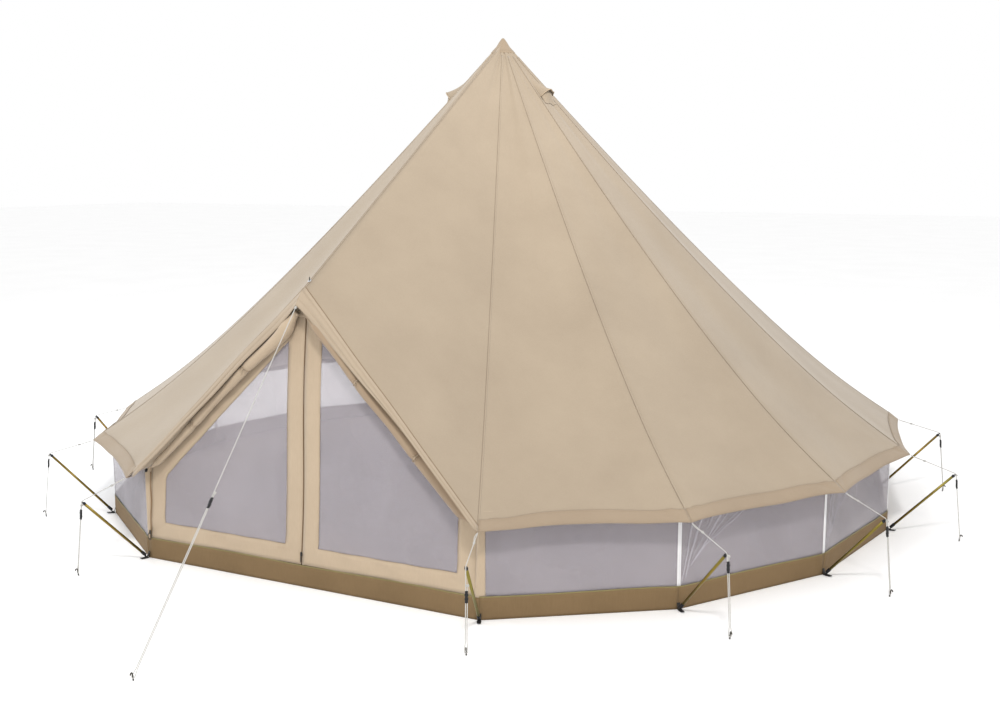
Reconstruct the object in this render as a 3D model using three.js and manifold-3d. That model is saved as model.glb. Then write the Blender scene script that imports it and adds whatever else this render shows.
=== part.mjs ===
// Bell tent: a round canvas roof on a centre pole, a mesh wall, a tray-shaped groundsheet, a triangular
// doorway on a bent tube frame, and one strut, guy line and line runner at every corner of the eave.
//
// Units are millimetres, +Z is up, the doorway faces -Y and the origin is on the ground under the pole.
// Angles round the tent are in degrees, from the doorway (-Y) towards +X.

import * as THREE from 'three';
import { mergeVertices } from 'three/addons/utils/BufferGeometryUtils.js';
import Module from 'manifold-3d';

const wasm = await Module();
wasm.setup();

// ---------------------------------------------------------------- driving dimensions

const cornerCount = 15;
const doorHalfAngle = 24;
const cornerStep = (360 - 2 * doorHalfAngle) / (cornerCount - 1);

const wallRadius = 3000;
const wallThickness = 4;
const trayHeight = 133;
const trayFloorThickness = 4;
const seamGap = 0.5;

const apexHeight = 3500;
const eaveRadius = 3130;
const eaveHeight = 557;
const roofSlope = 1.12;
const roofFlare = 620;
const flareReach = 1200;
const roofThickness = 6;
const roofUnderGap = 3;
const roofRowRadii = [50, 500, 1100, 1700, 2250, 2700, wallRadius, eaveRadius];
const goreSag = 16;
const eaveScallop = 46;

const doorPeak = new THREE.Vector3(0, -2660, 1802);
const doorPlaneLean = 4.45;
const doorPanelThickness = 3;
const doorTopHalfWidth = 52;
const doorTopRise = 1540;
const doorBottomHalfWidth = 1112;
const surroundHalfWidth = 1208;
const surroundShoulderRise = 470;
const surroundPeakRise = 1664;
const leafGap = 4;

const frameTubeRadius = 11;
const frameTop = new THREE.Vector3(0, -2582, 1762);
const frameJointGap = 34;
const frameElbow = new THREE.Vector3(1180, -2684, 562);
const frameBendLength = 90;
const frameFoot = new THREE.Vector3(1180, -2700, trayFloorThickness + seamGap);
const footPlateRadius = 24;
const footPlateHeight = 6;
const frameHubRadius = 17;
const spikeRadius = 4;
const spikeTop = 1878;
const spikeHoleRadius = 9;

const poleRadius = 19;
const poleSleeveRadius = 22;
const poleBreakHeight = 1750;
const poleTop = 3440;
const poleFootRadius = 55;

const rollTopRadius = 29;
const rollBottomRadius = 20;
const rollTop = new THREE.Vector3(57, -2678, 1634);
const rollBottom = new THREE.Vector3(1145, -2757, 622);

const strutRadius = 8.5;
const strutCapRadius = 10.5;
const strutFoot = { radius: 3026, height: 21 };
const strutTip = { radius: 3440, height: 469 };
const strutTipGap = 12;
const strutNibRadius = 3.5;
const strutNibLength = 8;

const cordRadius = 2.5;
const cordSides = 8;
const strandSpacing = 9;
const pegLoopRadius = 10;
const pegLoopTaper = 45;
const guyStart = { radius: 3138, height: 553 };
const guyPeg = { radius: 3490, height: 14 };
const doorGuyStart = new THREE.Vector3(0, -2668, 1780);
const doorGuyPeg = new THREE.Vector3(45, -4220, 14);

const runnerLength = 65;
const runnerHalfWidth = 6;
const runnerHoleRadius = 3.2;
const doorRunnerDrop = 1345;
const tailLength = 28;
const tipBendLength = 12;

// The lines are pegged by hand, so each swings a little sideways from its corner (degrees), and each
// runner sits at its own distance below the tip of the strut.
const lineSwings = [-0.7, 0.8, -0.8, -0.9, -1.3, 0.5, -0.4, 0.6, -0.5, 0.4, -0.6, 0.5, -1.1, -0.8, 0.8];
const runnerDrops = [130, 45, 45, 40, 55, 60, 45, 80, 50, 45, 70, 45, 55, 40, 50];

// ---------------------------------------------------------------- materials

const canvas = { color: 0xcdb798, roughness: 0.95, metalness: 0 };
const mesh = { color: 0xb9b2bd, roughness: 0.9, metalness: 0 };
const sheet = { color: 0x8d7350, roughness: 0.8, metalness: 0 };
const steel = { color: 0xb4b8bb, roughness: 0.35, metalness: 1 };
const anodised = { color: 0x9a9a2c, roughness: 0.4, metalness: 1 };
const cordWhite = { color: 0xe9e6dd, roughness: 0.9, metalness: 0 };
const blackPlastic = { color: 0x141416, roughness: 0.45, metalness: 0 };

const tent = new THREE.Group();

function addPiece(name, geometry, look, parent = tent) {
  const piece = new THREE.Mesh(geometry, new THREE.MeshStandardMaterial(look));
  piece.name = name;
  parent.add(piece);
  return piece;
}

// ---------------------------------------------------------------- helpers

function cornerAngle(index) {
  return doorHalfAngle + cornerStep * index;
}

function polar(angle, radius, height) {
  const turn = THREE.MathUtils.degToRad(angle);
  return new THREE.Vector3(radius * Math.sin(turn), -radius * Math.cos(turn), height);
}

function toSolid(geometry) {
  const bare = new THREE.BufferGeometry();
  bare.setAttribute('position', geometry.getAttribute('position'));
  bare.setIndex(geometry.getIndex());
  const merged = mergeVertices(bare, 1e-3);
  return new wasm.Manifold(new wasm.Mesh({
    numProp: 3,
    vertProperties: new Float32Array(merged.getAttribute('position').array),
    triVerts: new Uint32Array(merged.getIndex().array),
  }));
}

function toGeometry(solid) {
  const { vertProperties, triVerts } = solid.getMesh();
  const geometry = new THREE.BufferGeometry();
  geometry.setAttribute('position', new THREE.BufferAttribute(vertProperties, 3));
  geometry.setIndex(new THREE.BufferAttribute(triVerts, 1));
  return geometry;
}

function polygonPrism(points, bottom, height) {
  const outline = new THREE.Shape(points.map((point) => new THREE.Vector2(point.x, point.y)));
  const prism = new THREE.ExtrudeGeometry(outline, { depth: height, bevelEnabled: false });
  return prism.translate(0, 0, bottom);
}

// A closed solid through rings of points: each ring joins the next, and flat caps close both ends.
function loft(rings) {
  const size = rings[0].length;
  const index = [];
  for (let ring = 0; ring < rings.length - 1; ring += 1) {
    for (let side = 0; side < size; side += 1) {
      const a = ring * size + side;
      const b = ring * size + (side + 1) % size;
      index.push(a, b, b + size, a, b + size, a + size);
    }
  }
  const last = (rings.length - 1) * size;
  for (let side = 1; side < size - 1; side += 1) {
    index.push(0, side + 1, side);
    index.push(last, last + side, last + side + 1);
  }
  const geometry = new THREE.BufferGeometry();
  geometry.setFromPoints(rings.flat());
  geometry.setIndex(index);
  return geometry;
}

// A path of straight runs, sampled exactly at its points, so that a tube bends only where they are.
class PointPath extends THREE.Curve {
  constructor(points) {
    super();
    this.points = points;
  }

  getPoint(t, target = new THREE.Vector3()) {
    const place = t * (this.points.length - 1);
    const before = Math.min(Math.floor(place), this.points.length - 2);
    return target.lerpVectors(this.points[before], this.points[before + 1], place - before);
  }

  getPointAt(u, target) {
    return this.getPoint(u, target);
  }

  getTangentAt(u, target = new THREE.Vector3()) {
    const place = Math.round(u * (this.points.length - 1));
    const here = this.points[place];
    const before = this.points[Math.max(place - 1, 0)];
    const after = this.points[Math.min(place + 1, this.points.length - 1)];
    const arriving = here.clone().sub(before).normalize();
    const leaving = after.clone().sub(here).normalize();
    return target.addVectors(arriving, leaving).normalize();
  }

  getSpacedPoints(divisions) {
    return this.points.slice(0, divisions + 1);
  }
}

function roundSection(radius, sides) {
  const points = [];
  for (let side = 0; side < sides; side += 1) {
    const turn = (2 * Math.PI * (side + 0.5)) / sides;
    points.push(new THREE.Vector2(radius * Math.cos(turn), radius * Math.sin(turn)));
  }
  return new THREE.Shape(points);
}

function tubeAlong(points, radius, sides) {
  return new THREE.ExtrudeGeometry(roundSection(radius, sides), {
    steps: points.length - 1,
    extrudePath: new PointPath(points),
    bevelEnabled: false,
  });
}

function turned(profile, segments) {
  const points = profile.map(([radius, height]) => new THREE.Vector2(radius, height));
  return new THREE.LatheGeometry(points, segments);
}

// Turns a piece so that its local Y runs along `direction` and its local X lies along `sideways`.
function aim(object, origin, direction, sideways) {
  const along = direction.clone().normalize();
  const across = sideways.clone().addScaledVector(along, -sideways.dot(along)).normalize();
  const basis = new THREE.Matrix4();
  basis.makeBasis(across, along, new THREE.Vector3().crossVectors(across, along));
  object.position.copy(origin);
  object.quaternion.setFromRotationMatrix(basis);
}

function mirrored(vector, side) {
  return new THREE.Vector3(side * vector.x, vector.y, vector.z);
}

// ---------------------------------------------------------------- groundsheet

function buildGroundsheet() {
  const ring = (radius) => Array.from({ length: cornerCount }, (_, i) => polar(cornerAngle(i), radius, 0));
  const outside = toSolid(polygonPrism(ring(wallRadius), 0, trayHeight));
  const inside = toSolid(polygonPrism(ring(wallRadius - wallThickness), trayFloorThickness, trayHeight));
  addPiece('groundsheet', toGeometry(outside.subtract(inside)), sheet);
}

// ---------------------------------------------------------------- roof

// Height of a corner seam at a radius: a straight slope from the pole that flares out near the eave.
function seamHeight(radius) {
  const inward = eaveRadius - radius;
  return eaveHeight + roofSlope * inward - roofFlare * (1 - Math.exp(-inward / flareReach));
}

// Seam 0 is the ridge over the doorway; seams 1 to 15 run down to the corners of the eave.
function seamPoint(seam, radius) {
  if (seam % (cornerCount + 1) === 0) {
    const top = polar(0, roofRowRadii[0], seamHeight(roofRowRadii[0]));
    const share = (radius - roofRowRadii[0]) / (eaveRadius - roofRowRadii[0]);
    return top.lerp(doorPeak, share);
  }
  return polar(cornerAngle(seam - 1), radius, seamHeight(radius));
}

// Half-way across a gore the cloth hangs a little below its two seams, and its edge curves inward.
function gorePoint(seam, radius) {
  const isFront = seam === 0 || seam === cornerCount;
  const isEdge = radius === eaveRadius;
  const share = radius / eaveRadius;
  const reach = isEdge && !isFront ? radius - eaveScallop : radius;
  const middle = seamPoint(seam, reach).lerp(seamPoint(seam + 1, reach), 0.5);
  middle.z -= isEdge && isFront ? 0 : goreSag * 4 * share * (1 - 0.75 * share);
  return middle;
}

function buildRoof() {
  const upper = [new THREE.Vector3(0, 0, apexHeight)];
  for (const radius of roofRowRadii) {
    for (let seam = 0; seam <= cornerCount; seam += 1) {
      upper.push(seamPoint(seam, radius), gorePoint(seam, radius));
    }
  }
  const columns = 2 * (cornerCount + 1);
  const under = upper.length;
  const lower = upper.map((point) => point.clone().setZ(point.z - roofThickness));
  const at = (row, column) => 1 + row * columns + (column % columns);
  const index = [];
  const addTriangle = (a, b, c) => index.push(a, b, c, under + a, under + c, under + b);
  for (let column = 0; column < columns; column += 1) {
    addTriangle(0, at(0, column), at(0, column + 1));
    for (let row = 0; row < roofRowRadii.length - 1; row += 1) {
      addTriangle(at(row, column), at(row + 1, column), at(row + 1, column + 1));
      addTriangle(at(row, column), at(row + 1, column + 1), at(row, column + 1));
    }
    const edge = at(roofRowRadii.length - 1, column);
    const next = at(roofRowRadii.length - 1, column + 1);
    index.push(edge, under + edge, under + next, edge, under + next, next);
  }
  const shell = new THREE.BufferGeometry().setFromPoints([...upper, ...lower]);
  shell.setIndex(index);
  const spikeHole = new THREE.CylinderGeometry(spikeHoleRadius, spikeHoleRadius, 200, 8);
  spikeHole.rotateX(Math.PI / 2).translate(0, frameTop.y, spikeTop);
  addPiece('canopy', toGeometry(toSolid(shell).subtract(toSolid(spikeHole))), canvas);
}

// ---------------------------------------------------------------- mesh wall

function buildMeshWall() {
  const sections = [];
  const addSection = (angle, radius, top) => {
    const inner = radius - wallThickness;
    sections.push([
      polar(angle, inner, top),
      polar(angle, radius, top),
      polar(angle, radius, trayHeight + seamGap),
      polar(angle, inner, trayHeight + seamGap),
    ]);
  };
  const clearance = roofThickness + roofUnderGap;
  const middleRadius = wallRadius * Math.cos(THREE.MathUtils.degToRad(cornerStep / 2));
  for (let seam = 1; seam <= cornerCount; seam += 1) {
    const angle = cornerAngle(seam - 1);
    addSection(angle, wallRadius, seamPoint(seam, wallRadius).z - clearance);
    if (seam < cornerCount) {
      addSection(angle + cornerStep / 2, middleRadius, gorePoint(seam, wallRadius).z - clearance);
    }
  }
  addPiece('mesh_wall', loft(sections), mesh);
}

// ---------------------------------------------------------------- doorway

// The door group's local X runs across the doorway, its Y up the panel and its Z outward.
const doorPlane = new THREE.Group();
doorPlane.position.copy(polar(0, wallRadius * Math.cos(THREE.MathUtils.degToRad(doorHalfAngle)), trayHeight));
doorPlane.rotation.x = THREE.MathUtils.degToRad(90 - doorPlaneLean);
tent.add(doorPlane);

function doorPanel(outline) {
  const shape = new THREE.Shape(outline.map(([x, y]) => new THREE.Vector2(x, y)));
  const panel = new THREE.ExtrudeGeometry(shape, { depth: doorPanelThickness, bevelEnabled: false });
  return panel.translate(0, 0, -doorPanelThickness / 2);
}

function buildDoorSurround() {
  const innerBottom = doorBottomHalfWidth + 2 * leafGap;
  const innerTop = doorTopHalfWidth + leafGap;
  const innerRise = doorTopRise + leafGap;
  const outline = [
    [innerBottom, seamGap],
    [surroundHalfWidth, seamGap],
    [surroundHalfWidth, surroundShoulderRise],
    [0, surroundPeakRise],
    [-surroundHalfWidth, surroundShoulderRise],
    [-surroundHalfWidth, seamGap],
    [-innerBottom, seamGap],
    [-innerTop, innerRise],
    [innerTop, innerRise],
  ];
  addPiece('door_surround', doorPanel(outline), canvas, doorPlane);
}

function buildDoorLeaf(name, side) {
  const outline = [
    [leafGap / 2, leafGap],
    [doorBottomHalfWidth, leafGap],
    [doorTopHalfWidth, doorTopRise],
    [leafGap / 2, doorTopRise],
  ].map(([x, y]) => [side * x, y]);
  if (side < 0) {
    outline.reverse();
  }
  addPiece(name, doorPanel(outline), mesh, doorPlane);
}

function buildZipSlider() {
  const bodyHalfWidth = 7;
  const bodyBottom = 60;
  const bodyTop = 84;
  const tabHalfWidth = 4;
  const tabBottom = 18;
  const depth = 5;
  const shape = new THREE.Shape([
    new THREE.Vector2(-tabHalfWidth, tabBottom),
    new THREE.Vector2(tabHalfWidth, tabBottom),
    new THREE.Vector2(tabHalfWidth, bodyBottom),
    new THREE.Vector2(bodyHalfWidth, bodyBottom),
    new THREE.Vector2(bodyHalfWidth, bodyTop),
    new THREE.Vector2(-bodyHalfWidth, bodyTop),
    new THREE.Vector2(-bodyHalfWidth, bodyBottom),
    new THREE.Vector2(-tabHalfWidth, bodyBottom),
  ]);
  const slider = new THREE.ExtrudeGeometry(shape, { depth, bevelEnabled: false });
  slider.translate(0, 0, doorPanelThickness / 2 + seamGap);
  addPiece('door_zip_slider', slider, blackPlastic, doorPlane);
}

// A door flap rolled up along the slope of the doorway: full at the top and drawn in at the bottom.
function buildDoorRoll(name, side) {
  const top = mirrored(rollTop, side);
  const bottom = mirrored(rollBottom, side);
  const length = top.distanceTo(bottom);
  const profile = [
    [0, 0],
    [0.7 * rollBottomRadius, 0],
    [rollBottomRadius, 0.03 * length],
    [1.15 * rollBottomRadius, 0.35 * length],
    [0.9 * rollTopRadius, 0.75 * length],
    [rollTopRadius, 0.97 * length],
    [0.7 * rollTopRadius, length],
    [0, length],
  ];
  const roll = addPiece(name, turned(profile, 10), canvas);
  aim(roll, bottom, top.clone().sub(bottom), new THREE.Vector3(1, 0, 0));
}

// ---------------------------------------------------------------- door frame and centre pole

// Half of the door frame: a tube down the slope, bent at the shoulder into a leg on a small foot plate.
function frameHalf(side, startGap) {
  const elbow = mirrored(frameElbow, side);
  const top = frameTop.clone().add(elbow.clone().sub(frameTop).setLength(startGap));
  const foot = mirrored(frameFoot, side);
  const before = elbow.clone().add(top.clone().sub(elbow).setLength(frameBendLength));
  const after = elbow.clone().add(foot.clone().sub(elbow).setLength(frameBendLength));
  const bend = new THREE.QuadraticBezierCurve3(before, elbow, after).getPoints(4);
  const tube = toSolid(tubeAlong([top, ...bend, foot], frameTubeRadius, 10));
  const plate = new THREE.CylinderGeometry(footPlateRadius, footPlateRadius, footPlateHeight, 12);
  plate.rotateX(Math.PI / 2).translate(foot.x, foot.y, foot.z + footPlateHeight / 2);
  return tube.add(toSolid(plate));
}

function buildDoorFrame() {
  const hub = new THREE.SphereGeometry(frameHubRadius, 10, 6);
  hub.translate(0, frameTop.y, frameTop.z);
  const spikeLength = spikeTop - frameTop.z;
  const spike = new THREE.CylinderGeometry(spikeRadius / 2, spikeRadius, spikeLength, 8);
  spike.rotateX(Math.PI / 2).translate(0, frameTop.y, frameTop.z + spikeLength / 2);
  const left = frameHalf(-1, 0).add(toSolid(hub)).add(toSolid(spike));
  addPiece('door_frame_left', toGeometry(left), steel);
  addPiece('door_frame_right', toGeometry(frameHalf(1, frameJointGap)), steel);
}

function buildCentrePole() {
  const footTop = 12;
  const sleeveLength = 90;
  const base = trayFloorThickness + seamGap;
  const lower = turned([
    [0, base],
    [poleFootRadius, base],
    [poleFootRadius, base + footTop],
    [poleRadius, base + footTop],
    [poleRadius, poleBreakHeight],
    [0, poleBreakHeight],
  ], 16);
  addPiece('centre_pole_lower', lower.rotateX(Math.PI / 2), steel);
  const upper = turned([
    [0, poleBreakHeight + seamGap],
    [poleSleeveRadius, poleBreakHeight + seamGap],
    [poleSleeveRadius, poleBreakHeight + sleeveLength],
    [poleRadius, poleBreakHeight + sleeveLength],
    [poleRadius, poleTop - 30],
    [0.6 * poleRadius, poleTop],
    [0, poleTop],
  ], 16);
  addPiece('centre_pole_upper', upper.rotateX(Math.PI / 2), steel);
}

// ---------------------------------------------------------------- struts, guy lines and runners

function buildStrut(name, foot, tip, sideways) {
  const length = foot.distanceTo(tip) - strutTipGap;
  const footLength = 42;
  const capLength = 20;
  const profile = [
    [0, 0],
    [strutCapRadius, 0],
    [strutCapRadius, footLength],
    [strutRadius, footLength],
    [strutRadius, length - capLength],
    [strutCapRadius, length - capLength],
    [strutCapRadius, length - strutNibLength],
    [strutNibRadius, length - strutNibLength],
    [strutNibRadius, length],
    [0, length],
  ];
  const strut = addPiece(name, turned(profile, 8), anodised);
  aim(strut, foot, tip.clone().sub(foot), sideways);
}

// The last stretch of every guy line: down to the peg, round it in a loop that parts the two strands, and
// back up through the runner.
function pegLoop(top, peg, sideways, runnerTop) {
  const down = peg.clone().sub(top).normalize();
  const centre = peg.clone().addScaledVector(sideways, strandSpacing / 2);
  const radius = pegLoopRadius;
  const turnSteps = 4;
  const parting = top.clone().addScaledVector(down, top.distanceTo(peg) - radius - pegLoopTaper);
  const points = [parting];
  for (let step = 0; step <= turnSteps; step += 1) {
    const turn = (Math.PI * step) / turnSteps;
    const point = centre.clone().addScaledVector(sideways, -radius * Math.cos(turn));
    points.push(point.addScaledVector(down, radius * Math.sin(turn) - radius));
  }
  points.push(parting.clone().addScaledVector(sideways, strandSpacing));
  const tail = top.clone().addScaledVector(down, runnerTop - tailLength);
  points.push(tail.addScaledVector(sideways, strandSpacing));
  return points;
}

// A line runner: a block with two holes, one for each strand of the line.
function buildRunner(name, top, peg, sideways, drop) {
  const down = peg.clone().sub(top).normalize();
  const outline = new THREE.Shape();
  const centre = strandSpacing / 2;
  outline.moveTo(-centre, -runnerHalfWidth);
  outline.lineTo(centre, -runnerHalfWidth);
  outline.absarc(centre, 0, runnerHalfWidth, -Math.PI / 2, Math.PI / 2);
  outline.lineTo(-centre, runnerHalfWidth);
  outline.absarc(-centre, 0, runnerHalfWidth, Math.PI / 2, (3 * Math.PI) / 2);
  for (const x of [-centre, centre]) {
    const hole = new THREE.Path();
    hole.absarc(x, 0, runnerHoleRadius, 0, 2 * Math.PI, true);
    outline.holes.push(hole);
  }
  const options = { depth: runnerLength, bevelEnabled: false, curveSegments: 3 };
  const block = new THREE.ExtrudeGeometry(outline, options);
  block.rotateX(-Math.PI / 2);
  const runner = addPiece(name, block, blackPlastic);
  const origin = top.clone().addScaledVector(down, drop).addScaledVector(sideways, centre);
  aim(runner, origin, down, sideways);
}

function buildCornerLine(corner) {
  const label = String(corner + 1).padStart(2, '0');
  const angle = cornerAngle(corner);
  const lineAngle = angle + lineSwings[corner];
  const start = polar(angle, guyStart.radius, guyStart.height);
  const foot = polar(angle, strutFoot.radius, strutFoot.height);
  const tip = polar(lineAngle, strutTip.radius, strutTip.height);
  const peg = polar(lineAngle, guyPeg.radius, guyPeg.height);
  const sideways = polar(lineAngle + 90, 1, 0);
  const bend = new THREE.QuadraticBezierCurve3(
    tip.clone().lerp(start, tipBendLength / tip.distanceTo(start)),
    tip,
    tip.clone().lerp(peg, tipBendLength / tip.distanceTo(peg)),
  );
  const loop = pegLoop(tip, peg, sideways, runnerDrops[corner]);
  buildStrut(`strut_${label}`, foot, tip, sideways);
  const line = tubeAlong([start, ...bend.getPoints(3), ...loop], cordRadius, cordSides);
  addPiece(`guy_line_${label}`, line, cordWhite);
  buildRunner(`guy_runner_${label}`, tip, peg, sideways, runnerDrops[corner]);
}

function buildDoorLine() {
  const sideways = new THREE.Vector3(1, 0, 0);
  const points = [doorGuyStart, ...pegLoop(doorGuyStart, doorGuyPeg, sideways, doorRunnerDrop)];
  addPiece('guy_line_door', tubeAlong(points, cordRadius, cordSides), cordWhite);
  buildRunner('guy_runner_door', doorGuyStart, doorGuyPeg, sideways, doorRunnerDrop);
}

// ---------------------------------------------------------------- assembly

buildGroundsheet();
buildMeshWall();
buildRoof();
buildDoorSurround();
buildDoorLeaf('door_leaf_left', -1);
buildDoorLeaf('door_leaf_right', 1);
buildZipSlider();
buildDoorRoll('door_roll_left', -1);
buildDoorRoll('door_roll_right', 1);
buildDoorFrame();
buildCentrePole();
for (let corner = 0; corner < cornerCount; corner += 1) {
  buildCornerLine(corner);
}
buildDoorLine();

export default tent;
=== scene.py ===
"""Bell tent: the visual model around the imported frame. Metres, +Z up, the doorway faces -Y."""
from math import acos, atan2, cos, exp, pi, radians, sin, sqrt, tan

import bmesh
import bpy
import numpy as np
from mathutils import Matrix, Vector


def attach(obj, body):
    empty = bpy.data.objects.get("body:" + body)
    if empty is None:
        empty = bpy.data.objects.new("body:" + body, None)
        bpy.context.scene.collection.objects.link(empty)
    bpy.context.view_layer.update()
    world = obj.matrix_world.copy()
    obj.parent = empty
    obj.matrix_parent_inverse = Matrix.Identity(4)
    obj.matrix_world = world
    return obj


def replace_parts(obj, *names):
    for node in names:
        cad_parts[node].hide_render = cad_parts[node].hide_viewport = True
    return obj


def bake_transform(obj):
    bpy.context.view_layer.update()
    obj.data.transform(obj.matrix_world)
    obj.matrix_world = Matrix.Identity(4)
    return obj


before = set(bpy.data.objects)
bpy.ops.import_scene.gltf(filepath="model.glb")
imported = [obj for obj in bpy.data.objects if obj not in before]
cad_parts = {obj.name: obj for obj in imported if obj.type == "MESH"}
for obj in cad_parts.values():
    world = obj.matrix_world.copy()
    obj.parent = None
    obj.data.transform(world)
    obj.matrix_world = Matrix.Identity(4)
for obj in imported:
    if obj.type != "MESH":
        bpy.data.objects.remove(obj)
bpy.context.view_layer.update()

# ---------- driving sizes, as in part.mjs

CORNERS = 15
DOOR_HALF = radians(24)
STEP = (2 * pi - 2 * DOOR_HALF) / (CORNERS - 1)
WALL_R = 3.0
PANEL = 2 * WALL_R * sin(STEP / 2)
TRAY_H = 0.133
APEX = 3.5
EAVE_R = 3.13
EAVE_Z = 0.557
ROOF_SLOPE = 1.12
ROOF_FLARE = 0.62
FLARE_REACH = 1.2
TOP_R = 0.05
GORE_SAG = 0.016
SCALLOP = 0.032
DOOR_PEAK = np.array([0, -2.66, 1.802])
DOOR_LEAN = radians(4.45)
LINE_SWINGS = [-0.7, 0.8, -0.8, -0.9, -1.3, 0.5, -0.4, 0.6, -0.5, 0.4, -0.6, 0.5, -1.1, -0.8, 0.8]
RUNNER_DROPS = [
    0.13, 0.045, 0.045, 0.04, 0.055, 0.06, 0.045, 0.08, 0.05, 0.045, 0.07, 0.045, 0.055, 0.04, 0.05]
DOOR_RUNNER_DROP = 1.345
RUNNER_LENGTH = 0.065
CORD_D = 0.005
STRANDS = 0.009
PEG_LOOP_R = 0.01
PEG_LOOP_TAPER = 0.045
TAIL = 0.028
TIP_BEND = 0.012
STRUT_FOOT = (3.026, 0.021)
STRUT_TIP = (3.44, 0.469)
STRUT_TIP_GAP = 0.012
GUY_START = (3.138, 0.553)
GUY_PEG = (3.49, 0.014)
DOOR_GUY_START = np.array([0, -2.668, 1.78])
DOOR_GUY_PEG = np.array([0.045, -4.22, 0.014])
HEM = 0.075
CAP_R = 0.092
SEAM_HALF = 0.008
THREAD_R = 0.0006
KNOT_R = CORD_D * 0.46
ROLL_TIES = (0.3, 0.66)
ROLL_INSETS = {-1: (0.03, 0.046, 0.04), 1: (0.045, 0.058, 0.0)}
ROLL_SIZES = {-1: (0.025, 0.018), 1: (0.039, -0.003)}
ROLL_ENDS = {-1: 1.64, 1: 1.69}
PLEATED_PANELS = (1, 2, 5, 9)
LEAF_BORDER = 0.12
LEAF_SIDE = 0.13
TAPE_HALF = 0.012
POST_WRAPS = {-1: 0.008, 1: 0.034}
SLOPE_BORDERS = {-1: 0.178, 1: 0.128}
LEAF_TOP = 1.6
LEAF_ROWS = (4, 35, 8)
LEAF_COLUMNS = (4, 22, 5)
ZIP_GAP = 0.0045
SURROUND_X = 1.205
SURROUND_PEAK = 1.655
SURROUND_SHOULDER = 0.47
DOOR_GRADE = SURROUND_X / (SURROUND_PEAK - SURROUND_SHOULDER)


def vec(x, y, z):
    return np.array([x, y, z], float)


def polar(angle, radius, height):
    return vec(radius * sin(angle), -radius * cos(angle), height)


def corner_angle(index):
    return DOOR_HALF + STEP * index


def unit(vector):
    return np.asarray(vector, float) / np.linalg.norm(vector)


def ease(t):
    t = np.clip(t, 0, 1)
    return t * t * (3 - 2 * t)


def steps(count):
    return np.linspace(0, 1, count)


def spans(stops, counts):
    """Values that run from stop to stop, with so many steps between each two."""
    values = [stops[0]]
    for start, end, count in zip(stops, stops[1:], counts):
        values.extend(np.linspace(start, end, count + 1)[1:])
    return values


# ---------- camera


def make_camera():
    camera = bpy.data.objects.new("camera", bpy.data.cameras.new("camera"))
    bpy.context.scene.collection.objects.link(camera)
    camera.location = (4.167, -8.352, 2.513)
    camera.rotation_euler = Vector((-0.4429, 0.8823, -0.1599)).to_track_quat("-Z", "Y").to_euler()
    camera.data.lens = 42.5
    camera.data.clip_end = 200
    bpy.context.scene.camera = camera


make_camera()

# ---------- materials


class Look:
    """A material under construction: its shader and the textures that feed it."""

    def __init__(self, name, roughness=0.8, metallic=0.0, sheen=0.0, specular=0.5):
        self.material = bpy.data.materials.new(name)
        self.material.use_nodes = True
        self.tree = self.material.node_tree
        self.shader = self.tree.nodes["Principled BSDF"]
        self.set(self.shader, {"Roughness": roughness, "Metallic": metallic})
        self.set(self.shader, {"Sheen Weight": sheen, "Specular IOR Level": specular})
        self.place = self.mapping((1, 1, 1))

    def set(self, node, inputs):
        """Sets a node's inputs: sockets are linked, anything else is a value."""
        for name, value in inputs.items():
            if isinstance(value, bpy.types.NodeSocket):
                self.tree.links.new(value, node.inputs[name])
            else:
                node.inputs[name].default_value = value

    def node(self, kind, inputs):
        node = self.tree.nodes.new(f"ShaderNode{kind}")
        self.set(node, inputs)
        return node

    def mapping(self, scale):
        place = self.node("TexCoord", {})
        return self.node("Mapping", {"Vector": place.outputs["Object"], "Scale": scale}).outputs["Vector"]

    def noise(self, scale, detail=3, roughness=0.5, place=None):
        inputs = {"Vector": place or self.place, "Scale": scale, "Detail": detail, "Roughness": roughness}
        return self.node("TexNoise", inputs).outputs["Fac"]

    def wave(self, scale, direction, distortion=0.0):
        wave = self.node("TexWave", {"Vector": self.place, "Scale": scale, "Distortion": distortion})
        wave.bands_direction = direction
        return wave.outputs["Fac"]

    def combine(self, operation, first, second):
        node = self.node("Math", {0: first, 1: second})
        node.operation = operation
        return node.outputs[0]

    def plus(self, first, second):
        return self.combine("ADD", first, second)

    def times(self, first, second):
        return self.combine("MULTIPLY", first, second)

    def colour(self, factor, dark, light, low=0.3, high=0.7):
        ramp = self.node("ValToRGB", {"Fac": factor})
        for element, position, shade in zip(ramp.color_ramp.elements, (low, high), (dark, light)):
            element.position = position
            element.color = (*shade, 1)
        self.set(self.shader, {"Base Color": ramp.outputs["Color"]})

    def bump(self, height, strength, distance):
        bump = self.node("Bump", {"Height": height, "Strength": strength, "Distance": distance})
        self.set(self.shader, {"Normal": bump.outputs["Normal"]})


def woven_material(name, dark, light, thread=0.0011, strength=0.25, roughness=0.92, sheen=0.15, creasing=2.0):
    """Plain-woven cloth: crossed threads in the bump, and slow blotches of tone from dye and handling."""
    look = Look(name, roughness, sheen=sheen, specular=0.2)
    blotches = look.noise(2.2, 5, 0.6)
    slubs = look.noise(160, 2, place=look.mapping((1, 1, 0.12)))
    look.colour(look.plus(look.times(blotches, 0.7), look.times(slubs, 0.3)), dark, light)
    bands = 1 / (thread * 2 * pi)
    crossed = look.wave(bands, "X", 0.6)
    for direction in ("Y", "Z"):
        crossed = look.plus(crossed, look.wave(bands, direction, 0.6))
    creases = look.times(look.noise(9, 4), creasing)
    look.bump(look.plus(look.times(crossed, 0.33), creases), strength, 0.0012)
    return look.material


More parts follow.
